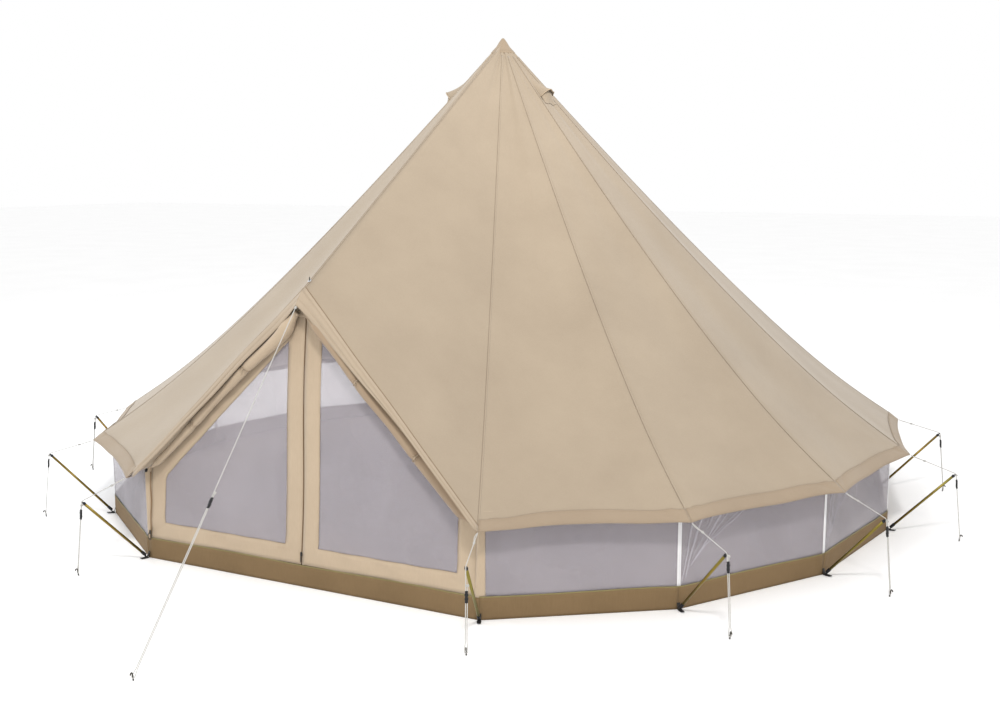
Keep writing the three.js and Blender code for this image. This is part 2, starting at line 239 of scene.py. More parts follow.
def mesh_material(name, dark, light, cover):
    """Insect mesh: a fine grid of pale threads that lets most of the light through."""
    look = Look(name, 0.85, sheen=0.5, specular=0.2)
    look.colour(look.noise(1.6), dark, light)
    threads = look.combine("MAXIMUM", look.wave(140, "X"), look.wave(140, "Z"))
    weave = look.plus(look.times(threads, 0.14), cover)
    look.set(look.shader, {"Alpha": look.plus(weave, look.times(look.noise(3, 2), 0.08))})
    look.bump(threads, 0.2, 0.0006)
    return look.material


def cord_material(name, dark, light):
    """Braided line: small slanting plaits."""
    look = Look(name, sheen=0.2)
    plait = look.times(look.wave(90, "DIAGONAL"), look.noise(400))
    look.colour(plait, dark, light, 0.05, 0.5)
    look.bump(plait, 0.5, 0.0006)
    return look.material


def metal_material(name, dark, light, roughness):
    """Drawn tube: fine lengthwise brushing and faint handling marks."""
    look = Look(name, roughness, metallic=1.0)
    marks = look.noise(60, 6, 0.7)
    batch = look.noise(0.9, 1)
    look.colour(look.plus(look.times(marks, 0.4), look.times(batch, 0.6)), dark, light, 0.38, 0.62)
    look.set(look.shader, {"Roughness": look.plus(look.times(marks, 0.25), roughness - 0.12)})
    look.bump(marks, 0.08, 0.0003)
    return look.material


def plastic_material(name, dark, light):
    """Moulded plastic with a fine spark-eroded grain."""
    look = Look(name, 0.45, specular=0.25)
    grain = look.noise(900, 2)
    look.colour(grain, dark, light)
    look.bump(grain, 0.15, 0.0003)
    return look.material


CANVAS = woven_material("sand_canvas", (0.318, 0.255, 0.186), (0.364, 0.295, 0.217), sheen=0.3)
# Doubled canvas of the hem and cap, darker than the roof: partly the doubled cloth, partly painted shade for
# a hem that hangs more upright than it is built.
HEM_CLOTH_PAINTED_SHADE = woven_material("doubled_canvas_painted_shade", (0.292, 0.225, 0.158), (0.334, 0.26, 0.185), sheen=0.2)
TRIM = woven_material("sand_canvas_trim", (0.415, 0.325, 0.23), (0.475, 0.375, 0.27), 0.0009, creasing=7)
SHEET = woven_material("brown_sheet", (0.165, 0.108, 0.052), (0.205, 0.135, 0.067), 0.0014, 0.2, 0.7, 0.0, 8)
FLAP_CLOTH = woven_material("storm_flap_canvas", (0.362, 0.29, 0.213), (0.414, 0.332, 0.247), creasing=5)
# A darker copy of the canvas for the right-hand roll: painted shade, for a roll lying in the flap's shadow.
ROLL_CLOTH_PAINTED_SHADE = woven_material("rolled_canvas_painted_shade", (0.295, 0.215, 0.144), (0.34, 0.252, 0.17), 0.0009, creasing=7)
BINDING = woven_material("olive_binding", (0.2, 0.165, 0.07), (0.27, 0.225, 0.1), 0.0009)
TAPE = woven_material("white_tape", (0.7, 0.69, 0.7), (0.8, 0.79, 0.8), 0.0014)
ZIP_TAPE = woven_material("brown_zip_tape", (0.18, 0.12, 0.07), (0.24, 0.165, 0.1), 0.0008)
# Painted shadow: a dark brown laid in the crease along the roof's doorway edge.
EDGE_SHADE = woven_material("painted_fold_shadow", (0.24, 0.17, 0.11), (0.3, 0.22, 0.145), 0.0008)
SEAM_THREAD = woven_material("brown_thread", (0.225, 0.178, 0.13), (0.27, 0.215, 0.158), 0.0006)
STITCH = woven_material("tan_thread", (0.3, 0.23, 0.155), (0.36, 0.28, 0.19), 0.0006)
DARK_WEB = woven_material("black_webbing", (0.02, 0.018, 0.016), (0.045, 0.04, 0.036), 0.0016)
MESH = mesh_material("insect_mesh", (0.55, 0.51, 0.55), (0.62, 0.575, 0.615), 0.19)
# Bunched mesh: more cover where the layers gather, and a lighter colour than the wall mesh, a painted
# highlight on the pleats.
GATHERED_MESH_PAINTED_HIGHLIGHT = mesh_material("gathered_mesh_painted_highlight", (0.6, 0.57, 0.62), (0.7, 0.67, 0.71), 0.26)
CORD = cord_material("white_cord", (0.36, 0.35, 0.325), (0.6, 0.59, 0.565))
ANODISED = metal_material("yellow_green_tube", (0.225, 0.13, 0.026), (0.215, 0.186, 0.045), 0.36)
STEEL = metal_material("galvanised_tube", (0.45, 0.46, 0.47), (0.66, 0.67, 0.68), 0.4)
DARK_STEEL = metal_material("dark_peg_steel", (0.06, 0.056, 0.05), (0.12, 0.115, 0.1), 0.5)
ZIP_TEETH = plastic_material("brown_zip_teeth", (0.19, 0.12, 0.062), (0.25, 0.16, 0.085))
BLACK = plastic_material("black_plastic", (0.008, 0.008, 0.009), (0.02, 0.02, 0.022))

SLOTS = {
    "canvas": (CANVAS, HEM_CLOTH_PAINTED_SHADE, TRIM, FLAP_CLOTH, ROLL_CLOTH_PAINTED_SHADE, EDGE_SHADE, SEAM_THREAD, STITCH),
    "groundsheet": (SHEET, BINDING),
    "insect_mesh": (MESH, GATHERED_MESH_PAINTED_HIGHLIGHT, TAPE),
    "cord": (CORD,),
    "anodised_tube": (ANODISED,),
    "steel_tube": (STEEL, DARK_STEEL),
    "black_plastic": (BLACK, ZIP_TEETH, ZIP_TAPE, DARK_WEB),
}
SLOT_OF = {material.name: slot for slot, materials in SLOTS.items() for material in materials}

# ---------- mesh helpers


def add_object(name, data, material, body="tent", slot=None):
    piece = bpy.data.objects.new(name, data)
    bpy.context.scene.collection.objects.link(piece)
    data.materials.append(material)
    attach(piece, body)
    slot or SLOT_OF[material.name]
    return piece


def joined(parts):
    """One list of points and faces from several."""
    points, faces = [], []
    for part_points, part_faces in parts:
        shift = len(points)
        points.extend(part_points)
        faces.extend(tuple(i + shift for i in face) for face in part_faces)
    return points, faces


def solid(name, parts, material, body="tent", slot=None, weld=False):
    """One smooth mesh from parts, each with its points and faces."""
    points, faces = joined(parts)
    data = bpy.data.meshes.new(name)
    data.from_pydata([tuple(map(float, p)) for p in points], [], faces)
    if weld:
        work = bmesh.new()
        work.from_mesh(data)
        bmesh.ops.remove_doubles(work, verts=work.verts, dist=2e-5)
        bmesh.ops.recalc_face_normals(work, faces=work.faces)
        work.to_mesh(data)
        work.free()
    data.validate()
    data.polygons.foreach_set("use_smooth", [True] * len(data.polygons))
    data.update()
    return add_object(name, data, material, body, slot)


def cloth(name, parts, material, thickness, offset=0, weld=True):
    """Sheets with a thickness, sewn into one where they meet."""
    piece = solid(name, parts, material, weld=weld)
    modifier = piece.modifiers.new("thickness", "SOLIDIFY")
    modifier.thickness = thickness
    modifier.offset = offset
    modifier.use_even_offset = False
    return piece


def grid_faces(rows, columns, wrap=False):
    return [
        (a, b, b + columns, a + columns)
        for row in range(0, (rows - 1) * columns, columns)
        for a, b in ((row + c, row + (c + 1) % columns) for c in range(columns if wrap else columns - 1))
    ]


def lattice(rows, columns, point, *given, **options):
    """A sheet of point(..., row, column) over two lists of values."""
    points = [point(*given, t, u, **options) for t in rows for u in columns]
    return points, grid_faces(len(rows), len(columns))


def tube_faces(rows, size):
    """The faces of a tube of rings, with a flat face at both ends."""
    last = size * (rows - 1)
    ends = [tuple(range(size - 1, -1, -1)), tuple(range(last, last + size))]
    return grid_faces(rows, size, wrap=True) + ends


def path_frames(points, side=None):
    """Sides and ups along a path, carried along it without twisting."""
    tangents = np.gradient(points, axis=0)
    tangents /= np.linalg.norm(tangents, axis=1)[:, None]
    if side is None:
        side = np.cross(tangents[0], [0.31, 0.17, 0.93])
    sides = []
    for tangent in tangents:
        side = unit(side - tangent * np.dot(side, tangent))
        sides.append(side)
    return sides, np.cross(tangents, sides)


def sweep(points, section, scales=None, side=None):
    """A closed section carried along a path, with flat ends."""
    points = np.asarray(points, float)
    scales = np.ones(len(points)) if scales is None else scales
    rings = []
    for point, across, up, scale in zip(points, *path_frames(points, side), scales):
        rings.extend(point + scale * (a * across + b * up) for a, b in section)
    return rings, tube_faces(len(points), len(section))


def turns_of(sides):
    return 2 * pi * np.arange(sides) / sides


def circle(radius, sides=16):
    return [(radius * cos(turn), radius * sin(turn)) for turn in turns_of(sides)]


def strap(width, thickness):
    """The section of a flat strap with softened edges."""
    a, b = width / 2, thickness / 2
    c = b * 0.6
    low = [(-a, -b + c), (-a + c, -b), (a - c, -b), (a, -b + c)]
    return low + [(x, -y) for x, y in reversed(low)]


def turned(profile, origin, direction, sides=24):
    """A profile of (radius, distance) turned about an axis."""
    direction = unit(direction)
    across = unit(np.cross(direction, [0.3, 0.1, 0.9] if abs(direction[2]) < 0.9 else [1, 0, 0]))
    other = np.cross(direction, across)
    points = []
    for radius, distance in profile:
        centre = np.asarray(origin) + direction * distance
        points.extend(centre + radius * (cos(t) * across + sin(t) * other) for t in turns_of(sides))
    return points, tube_faces(len(profile), sides)


def between(start, end, shares):
    return [start + (end - start) * t for t in shares]


def bent(first, corner, last, count):
    """A smooth bend from first to last that leans towards the corner."""
    return [(1 - t) ** 2 * first + 2 * t * (1 - t) * corner + t * t * last for t in steps(count)]


def rounded_path(points, radius, count=6):
    """The same path with each inner corner turned into an arc of about that radius."""
    path = [points[0]]
    for before, here, after in zip(points, points[1:], points[2:]):
        arriving, leaving = unit(here - before), unit(after - here)
        turn = acos(np.clip(np.dot(arriving, leaving), -1, 1))
        shortest = min(np.linalg.norm(here - before), np.linalg.norm(after - here))
        reach = min(radius * tan(turn / 2), 0.45 * shortest)
        path.extend(bent(here - arriving * reach, here, here + leaving * reach, count))
    path.append(points[-1])
    return path


# ---------- guy lines, which are cords


def line_places(corner):
    """A corner line's angle, which swings a little off the corner's own, its strut tip, peg and sideways."""
    angle = corner_angle(corner) + radians(LINE_SWINGS[corner])
    return angle, polar(angle, *STRUT_TIP), polar(angle, *GUY_PEG), polar(angle + pi / 2, 1, 0)


def peg_loop(top, peg, sideways, runner_top):
    """Down to the peg, round it, and back up through the runner to the line's tail."""
    down = unit(peg - top)
    centre = peg + sideways * STRANDS / 2
    parting = top + down * (np.linalg.norm(peg - top) - PEG_LOOP_R - PEG_LOOP_TAPER)
    out = -sideways * (PEG_LOOP_R - STRANDS / 2)
    points = [parting, parting + down * PEG_LOOP_TAPER * 0.5 + out * 0.5]
    for turn in pi * steps(17):
        lift = PEG_LOOP_R * (sin(turn) - 1)
        points.append(centre - sideways * PEG_LOOP_R * cos(turn) + down * lift)
    parting, tail = parting + sideways * STRANDS, top + down * (runner_top - TAIL) + sideways * STRANDS
    return [*points, parting + down * PEG_LOOP_TAPER * 0.5 - out * 0.5, parting, (parting + tail) / 2, tail]


def eave_loop(name, start, direction):
    """The bight that ties a line on: a second strand beside it, held by a wrapped knot."""
    direction = unit(direction)
    across = unit(np.cross(direction, [0, 0, 1]))
    drop = np.cross(direction, across)
    reach = 0.085
    strand = [start + direction * reach * t + across * 0.0085 * sin(pi * t) ** 0.7 for t in steps(15)]
    wraps = []
    for t in steps(49):
        turn = 2 * pi * 3 * t
        ring = cos(turn) * across + sin(turn) * drop
        wraps.append(start + direction * (reach + 0.004 + 0.014 * t) + ring * 0.0047)
    return solid(name, [sweep(path, circle(KNOT_R, 10)) for path in (strand, wraps)], CORD)


def knot(name, centre, direction):
    """A small overhand knot: a three-lobed loop of the same cord, pulled tight."""
    direction = unit(direction)
    across = unit(np.cross(direction, [0.2, 0.1, 0.95]))
    other = np.cross(direction, across)
    points = []
    for t in 2 * pi * steps(60):
        ring = (0.0052 + 0.0026 * cos(3 * t)) * (cos(2 * t) * across + sin(2 * t) * other)
        points.append(centre + ring + 0.0042 * sin(3 * t) * direction)
    return solid(name, [sweep(points, circle(KNOT_R, 10))], CORD, weld=True)


def cord_piece(label, points, knots):
    data = bpy.data.curves.new(f"line_{label}", "CURVE")
    data.dimensions = "3D"
    data.bevel_depth = CORD_D / 2
    data.bevel_resolution = 3
    data.use_fill_caps = True
    spline = data.splines.new("POLY")
    spline.points.add(len(points) - 1)
    for target, point in zip(spline.points, points):
        target.co = (*point, 1)
    spline.use_smooth = True
    piece = add_object(f"line_{label}", data, CORD)
    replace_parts(piece, f"guy_line_{label}")
    tuple(points[0])


def runner_piece(label, top, peg, sideways, drop):
    """A plastic runner with finger grooves, on both strands of its line."""
    down = unit(peg - top)
    side = unit(sideways - down * np.dot(sideways, down))
    depth = np.cross(down, side)
    start = top + down * drop + side * STRANDS / 2
    section = strap(2.0, 1.0)
    points, rows = [], 29
    for t in steps(rows):
        waist = 0.009 + 0.0016 * cos(6 * pi * t)
        end = sqrt(1 - abs(2 * t - 1) ** 9)
        centre = start + down * RUNNER_LENGTH * t + depth * 0.001 * sin(2 * pi * t)
        for a, b in section:
            across = side * a * waist * (0.5 + 0.5 * end)
            points.append(centre + across + depth * b * 0.0115 * (0.55 + 0.45 * end))
    parts = [(points, tube_faces(rows, len(section)))]
    ring = [(0.0029, 0), (0.0038, 0), (0.0041, 0.003), (0.0038, 0.006), (0.0029, 0.006)]
    for strand in (-0.5, 0.5):
        for end in (0.003, RUNNER_LENGTH - 0.009):
            parts.append(turned(ring, start + side * strand * STRANDS + down * end, down, 12))
    piece = solid(f"runner_{label}", parts, BLACK, f"guy_runner_{label}")
    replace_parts(piece, f"guy_runner_{label}")
    return piece


def make_line(label, loop_name, course, top, peg, sideways, drop):
    """A guy line with its runner, the loop that ties it on and the knot in its tail."""
    points = [*course, *peg_loop(top, peg, sideways, drop)]
    runner = runner_piece(label, top, peg, sideways, drop)
    loop = eave_loop(loop_name, points[0], points[1] - points[0])
    cord_piece(label, points, [loop, knot(f"tail_knot_{label}", points[-1], peg - top)])


def make_lines():
    for corner, drop in enumerate(RUNNER_DROPS):
        label = f"{corner + 1:02d}"
        _, tip, peg, sideways = line_places(corner)
        start = polar(corner_angle(corner), *GUY_START)
        first, last = tip + unit(start - tip) * TIP_BEND, tip + unit(peg - tip) * TIP_BEND
        course = between(start, first, (0, 0.1, 0.3, 0.5, 0.7, 0.9)) + bent(first, tip, last, 7)
        course += between(last, peg, (0.1, 0.3, 0.5, 0.7))
        make_line(label, f"eave_knot_{label}", course, tip, peg, sideways, drop)
    course = between(DOOR_GUY_START, DOOR_GUY_PEG, np.linspace(0, 0.9, 8))
    make_line("door", "peak_knot", course, DOOR_GUY_START, DOOR_GUY_PEG, vec(1, 0, 0), DOOR_RUNNER_DROP)


make_lines()

# ---------- roof surface


def seam_height(radius):
    inward = EAVE_R - radius
    return EAVE_Z + ROOF_SLOPE * inward - ROOF_FLARE * (1 - np.exp(-inward / FLARE_REACH))


def seam_points(seam, radius):
    """Points of a seam: seam 0 is the ridge over the doorway, and 1 to 15 run to the eave's corners."""
    if seam % (CORNERS + 1) == 0:
        share = ((radius - TOP_R) / (EAVE_R - TOP_R))[..., None]
        top = polar(0, TOP_R, seam_height(TOP_R))
        return top + share * (DOOR_PEAK - top)
    turn = corner_angle(seam - 1)
    return np.stack([radius * sin(turn), -radius * cos(turn), seam_height(radius)], axis=-1)


def gore_width(gore, radius):
    return np.linalg.norm(seam_points(gore + 1, radius) - seam_points(gore, radius), axis=-1)


def is_front(gore):
    return gore in (0, CORNERS)


def hem_kink(gore, radius, across):
    """The roof stands a little proud where the hem turns down, except beside the doorway."""
    if is_front(gore):
        return 0
    turn = EAVE_R - HEM
    rise = 0.012 * ease((radius - 2.45) / (turn - 2.45))
    fall = np.clip((radius - turn) / HEM, 0, 1)
    beside = ease(across / 0.3) if gore == 1 else ease((1 - across) / 0.3) if gore == CORNERS - 1 else 1
    return rise * (1 - fall) * beside


def roof_folds(gore, radius, across, bow, width):
    """Soft folds: from the cap, along the gore, and gathered at the corners of the eave."""
    phase = 1.7 * gore
    apex = 0.0045 * ease((radius - 0.09) / 0.2) * np.exp(-radius / 0.8) * np.sin(6 * pi * across + phase)
    long_fold = 0.006 * np.sin(2.6 * pi * across + 0.9 * radius + phase)
    long_fold = long_fold + 0.003 * np.sin(7.1 * across - 1.9 * radius + 2.3 * phase)
    ripple = 0.0022 * ease((radius - 2.7) / 0.4) * np.sin(5 * pi * across + 2.1 * phase)
    total = (apex + long_fold + ripple) * bow
    if not is_front(gore):
        for side in (across, 1 - across):
            run, rise = side * width, EAVE_R - radius + 0.004
            far = np.hypot(run, rise)
            pull = 0.0055 * np.exp(-far / 0.3) * np.clip(far / 0.12, 0, 1)
            total = total + pull * np.sin(9 * np.arctan2(run, rise) + 0.6 * gore) * np.clip(bow * 6, 0, 1)
    return total


def roof(gore, radius, across):
    """Points of the roof cloth: across runs from 0 at one seam to 1 at the next."""
    radius, across = np.broadcast_arrays(np.asarray(radius, float), np.asarray(across, float))
    bow = 4 * across * (1 - across)
    share = radius / EAVE_R
    sag = GORE_SAG * 4 * share * (1 - 0.75 * share) * bow
    reach = radius
    if is_front(gore):
        sag = sag * (1 - ease((radius - 2.2) / (EAVE_R - 2.2)))
    else:
        reach = radius - SCALLOP * bow * ease((radius - 2.3) / (EAVE_R - 2.3))
    first, second = seam_points(gore, reach), seam_points(gore + 1, reach)
    points = first + (second - first) * across[..., None]
    folds = roof_folds(gore, radius, across, bow, gore_width(gore, reach))
    points[..., 2] += folds + hem_kink(gore, radius, across) - sag
    return points


def above_roof(gore, radius, across, lift):
    """Points that stand off the roof by lift."""
    step = 1e-3
    down = roof(gore, radius + step, across) - roof(gore, radius - step, across)
    over = roof(gore, radius, across + step) - roof(gore, radius, across - step)
    normals = np.cross(down, over)
    return roof(gore, radius, across) + normals / np.linalg.norm(normals, axis=-1)[..., None] * lift


def roof_patch(gore, radii, acrosses, lift):
    """A sheet that stands off the roof by lift."""
    points = above_roof(gore, *np.meshgrid(radii, acrosses, indexing="ij"), lift).reshape(-1, 3)
    return points, grid_faces(len(radii), len(acrosses))


def roof_line(gore, inset, acrosses, lift):
    """A line along the edge of a gore, set in from it."""
    return roof_patch(gore, [EAVE_R - inset], acrosses, lift)[0]


def make_canopy():
    """The roof's cloth, with rows closer together near the eave, and a point at its peak."""
    radii = 0.03 + (EAVE_R - 0.03) * (1 - (1 - steps(76)) ** 1.35)
    columns = [24 if is_front(gore) else 16 for gore in range(CORNERS + 1)]
    gores = [roof_patch(gore, radii, steps(count + 1), 0.0) for gore, count in enumerate(columns)]
    points, faces = joined(gores)
    peak = len(points)
    points.append(vec(0, 0, seam_height(0.0) - 0.01))
    start = 0
    for count in columns:
        faces.extend((peak, start + c, start + c + 1) for c in range(count))
        start += len(radii) * (count + 1)
    piece = cloth("roof_canvas", [(points, faces)], CANVAS, 0.0016, -1)
    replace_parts(piece, "canopy")


def make_seams():
    """Felled seams down the roof: a narrow raised fold with a row of thread on each side."""
    radii = np.linspace(0.12, EAVE_R - 0.002, 150)
    tapes, threads = [], []
    for seam in range(CORNERS + 1):
        rows = []
        for offset, height in ((-1, 0.0004), (-0.8, 0.0014), (0.8, 0.0014), (1, 0.0004)):
            gore = (seam - 1) % (CORNERS + 1) if offset < 0 else seam
            share = abs(offset) * SEAM_HALF / np.maximum(gore_width(gore, radii), 0.03)
            rows.append(above_roof(gore, radii, 1 - share if offset < 0 else share, height))
        tapes.append((np.stack(rows, axis=1).reshape(-1, 3), grid_faces(len(radii), 4)))
        for side, radius in ((1, 0.0017), (2, THREAD_R)):
            line = rows[side][::2] + vec(0, 0, 0.0002)
            threads.append(sweep(line, circle(radius, 6), 0.6 + 0.4 * ease(radii[::2] / 0.9)))
    cloth("roof_seams", tapes, CANVAS, 0.001)
    solid("seam_thread", threads, SEAM_THREAD)


def make_hem():
    """The turned hem along the eave, with its stitch lines and a bound lower edge."""
    bands, threads, edges = [], [], []
    across = steps(57)
    for gore in range(1, CORNERS):
        bands.append(roof_patch(gore, np.linspace(EAVE_R - HEM, EAVE_R + 0.0005, 9), across, 0.0026))
        for inset in (HEM - 0.003, HEM - 0.011, 0.01):
            threads.append(sweep(roof_line(gore, inset, across, 0.0036), circle(THREAD_R, 5)))
        edges.append(sweep(roof_line(gore, 0.001, across, 0.0), circle(0.0028, 8)))
    # The hem's darker cloth is partly painted shade of an upright hem.
    cloth("eave_hem", bands, HEM_CLOTH_PAINTED_SHADE, 0.0018)
    solid("hem_thread", threads, STITCH)
    solid("hem_edge", edges, HEM_CLOTH_PAINTED_SHADE)


def beside_door(side, share):
    """The gore on one side of the doorway, and the place across it: share runs from the peak to the eave."""
    return (0, share) if side > 0 else (CORNERS, 1 - share)


def edge_point(side, share):
    """A point on the roof's edge beside the doorway."""
    gore, across = beside_door(side, share)
    return roof(gore, EAVE_R, across)


def make_door_hems():
    """The doubled edge of the roof along both slopes of the doorway."""
    bands, threads, edges = [], [], []
    shares = steps(49)
    for side in (1, -1):
        gore, across = beside_door(side, shares)
        bands.append(roof_patch(gore, EAVE_R - np.linspace(0.036, -0.002, 6), across, 0.0021))
        for inset in (0.034, 0.006):
            threads.append(sweep(roof_line(gore, inset, across, 0.0038), circle(THREAD_R, 5)))
        edges.append(sweep(edge_point(side, shares), circle(0.0036, 8)))
    solid("door_edge_cord", edges, FLAP_CLOTH)
    # A dark tube just inside the right slope's edge: painted shadow of the crease where the roof cloth folds.
    solid("door_edge_fold_shadow", [sweep(roof_line(0, 0.038, shares, 0.002), circle(0.003, 8))], EDGE_SHADE)
    cloth("door_edge_hem", bands, FLAP_CLOTH, 0.0022)
    solid("door_edge_thread", threads, STITCH)


def make_cap():
    """The doubled cone of canvas at the peak, stitched round its lower edge."""
    profile = [(0.003, APEX + 0.001), (0.011, APEX - 0.004), (0.02, APEX - 0.016), (0.032, APEX - 0.033)]
    profile += [(radius, seam_height(radius) + 0.0035) for radius in np.linspace(0.05, CAP_R, 7)]
    profile.append((CAP_R + 0.0015, seam_height(CAP_R) - 0.008))
    points = [polar(turn, radius, height) for radius, height in profile for turn in turns_of(64)]
    cloth("apex_cap", [(points, grid_faces(len(profile), 64, wrap=True))], HEM_CLOTH_PAINTED_SHADE, 0.002)
    radius = CAP_R - 0.011
    ring = [polar(2 * pi * t, radius, seam_height(radius) + 0.0056) for t in steps(65)]
    solid("cap_thread", [sweep(ring, circle(THREAD_R, 5))], HEM_CLOTH_PAINTED_SHADE)


def make_vent(number, gore):
    """A hooded vent: canvas lifted off the middle of a gore into a small tunnel that faces down the slope."""
    outward = unit(polar(corner_angle(gore - 0.5), 0.7, 0.7))

    def above(t, u, half, lift):
        radius = 0.17 + 0.24 * t
        share = min(1, half / (radius * sin(STEP / 2)))
        return roof(gore, radius, 0.5 + 0.5 * u * share) + outward * lift

    def arch(u):
        return (1 - abs(u) ** 2.6) ** 0.8

    def hood_point(t, u):
        bulge = 0.082 * t**3 * arch(u) - 0.004 * t - 0.004 * abs(u) ** 3
        return above(t, u, 0.01 + 0.066 * t, bulge + 0.003 * sin(5 * u + 4 * t) * t)

    def patch_point(t, u):
        return above(t, u, 0.068, 0.003 + 0.05 * (1 - ease((t - 0.95) / 0.25)) * arch(u))

    columns = 25
    hood = lattice(steps(24), np.linspace(-1, 1, columns), hood_point)
    cloth(f"vent_hood_{number}", [hood], CANVAS, 0.0016)
    solid(f"vent_rim_{number}", [sweep(hood[0][-columns:], circle(0.0035, 8))], TRIM)
    patch = lattice(np.linspace(0.93, 1.2, 12), np.linspace(-1, 1, 17), patch_point)
    cloth(f"vent_patch_{number}", [patch], CANVAS, 0.0016)


make_canopy()
make_seams()
make_hem()
make_door_hems()
make_cap()
for vent_number, vent_gore in enumerate((3, 8, 12), 1):
    make_vent(vent_number, vent_gore)

# ---------- mesh wall


def wall_out(panel):
    return polar(corner_angle(panel + 0.5), 1, 0)


def wall_point(panel, up, across, lift=0.0):
    """A point on a wall panel: up from the tray to the roof, across from corner to corner."""
    low_a, low_b = (polar(corner_angle(corner), WALL_R - 0.002, TRAY_H) for corner in (panel, panel + 1))
    bow = 4 * across * (1 - across)
    top = seam_height(WALL_R) - GORE_SAG * bow - 0.002
    outward = wall_out(panel) * (lift - 0.012 * bow * sin(pi * up))
    return low_a + (low_b - low_a) * across + outward + vec(0, 0, (top - TRAY_H) * up)


def wall_cloth(panel, up, across, lift=0.0):
    """A point on the wall's mesh, which has soft folds, and pleats in some panels."""
    phase = 2.3 * panel
    folds = 0.004 * sin(23 * across + phase + 3 * up) * sin(pi * min(1, up * 1.4))
    folds += 0.0025 * sin(61 * across + 2 * phase) * up**2
    if panel in PLEATED_PANELS:
        ridge = (1 - abs(sin(pi * (8 * across - 3.6 * up)))) ** 3
        folds += 0.012 * ridge * exp(-((across / 0.42) ** 2)) * (0.25 + 0.75 * up)
    return wall_point(panel, up, across, lift + folds * min(1, 12 * across, 12 * (1 - across)))


def make_wall():
    panels = [lattice(steps(16), steps(72), wall_cloth, panel) for panel in range(CORNERS - 1)]
    piece = cloth("wall_mesh", panels, MESH, 0.0006)
    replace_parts(piece, "mesh_wall")


def pleat_point(panel, fold, t, u):
    """A point on a narrow doubled fold: t runs up it, u across it."""
    across = (0.015 + 0.02 * fold) * (1 - t) + (0.1 + 0.078 * fold) * t + 0.006 * sin(5 * t + 2 * fold)
    half = (0.003 + 0.006 * t + 0.0025 * sin(fold * 2.4)) / PANEL
    up = (0.04 + 0.06 * fold) * (1 - t) + 0.995 * t
    return wall_cloth(panel, up, across + u * half, 0.0022 + 0.0025 * (1 - abs(u)))


def make_wall_pleats():
    """Gathers in the mesh, which fan out from a panel's lower corner."""
    places = [(panel, fold) for panel in PLEATED_PANELS for fold in range(7)]
    pleats = [lattice(steps(18), (-1, 0, 1), pleat_point, *place) for place in places]
    # The pleats' lighter mesh is partly painted highlight.
    cloth("wall_pleats", pleats, GATHERED_MESH_PAINTED_HIGHLIGHT, 0.0006)


def make_wall_trim():
    """White tapes up the corners, and a canvas band along the top."""
    tapes, bands = [], []
    width = np.linspace(0, TAPE_HALF / PANEL, 4)
    for corner in range(1, CORNERS - 1):
        for panel, acrosses in ((corner - 1, 1 - width), (corner, width)):
            tapes.append(lattice(steps(18), acrosses, wall_point, panel, lift=0.0025))
    for panel in range(CORNERS - 1):
        bands.append(lattice((0.93, 0.965, 1.0), steps(30), wall_cloth, panel, lift=0.0015))
    cloth("wall_corner_tapes", tapes, TAPE, 0.001)
    cloth("wall_bands", bands, TRIM, 0.0012)


def make_wall_ties():
    """Tapes that hold the rolled-up inner wall: they hang behind the mesh of two panels."""
    ties = []
    places = ((2, 0.22, 0.17), (2, 0.5, 0.24), (2, 0.78, 0.16), (3, 0.2, 0.22), (3, 0.55, 0.15))
    for panel, share, drop in places:
        top, outward = wall_point(panel, 0.97, share), wall_out(panel)
        along = np.cross([0, 0, 1], outward)
        for lean, reach in ((0.012, drop), (-0.018, drop * 0.7)):
            hang = along * lean - outward * 0.01 - vec(0, 0, reach)
            path = [top - outward * 0.012 + hang * t for t in steps(9)]
            ties.append(sweep(path, strap(0.008, 0.0012), side=along))
    solid("wall_ties", ties, TAPE)


make_wall()
make_wall_pleats()
make_wall_trim()
make_wall_ties()

# ---------- doorway

DOOR_ORIGIN = polar(0, WALL_R * cos(DOOR_HALF), TRAY_H)
DOOR_UP = vec(0, sin(DOOR_LEAN), cos(DOOR_LEAN))
DOOR_OUT = vec(0, -cos(DOOR_LEAN), sin(DOOR_LEAN))


def on_door(x, rise, out=0.0):
    return DOOR_ORIGIN + vec(x, 0, 0) + DOOR_UP * rise + DOOR_OUT * out


def outer_edge(rise):
    """Half the width of the door wall at a height: straight posts, then the slopes."""
    return min(SURROUND_X, (SURROUND_PEAK - rise) * DOOR_GRADE)


def zip_sway(rise):
    """The zip doesn't hang quite straight."""
    return 0.007 * sin(2.2 * pi * rise / LEAF_TOP)


def make_door_posts():
    """The corner posts of canvas: from the door wall's edge, round the corner, onto the wall panel."""
    posts, rows = [], 26
    for side, panel in ((1, 0), (-1, CORNERS - 2)):
        strip = []
        shares = np.linspace(0, POST_WRAPS[side] / PANEL, 5)
        for up in steps(rows):
            wrapped = [wall_point(panel, up, t if side > 0 else 1 - t, 0.0028) for t in shares]
            rise = (wrapped[0][2] - TRAY_H) / cos(DOOR_LEAN)
            edge = on_door(side * (outer_edge(rise) - 0.012), rise, 0.0035)
            for t in (0, 0.35, 0.7):
                strip.append(edge + (wrapped[0] - edge) * t + DOOR_OUT * 0.004 * sin(pi * t))
            strip.extend(wrapped)
        posts.append((strip, grid_faces(rows, len(strip) // rows)))
    cloth("door_posts", posts, TRIM, 0.0014)


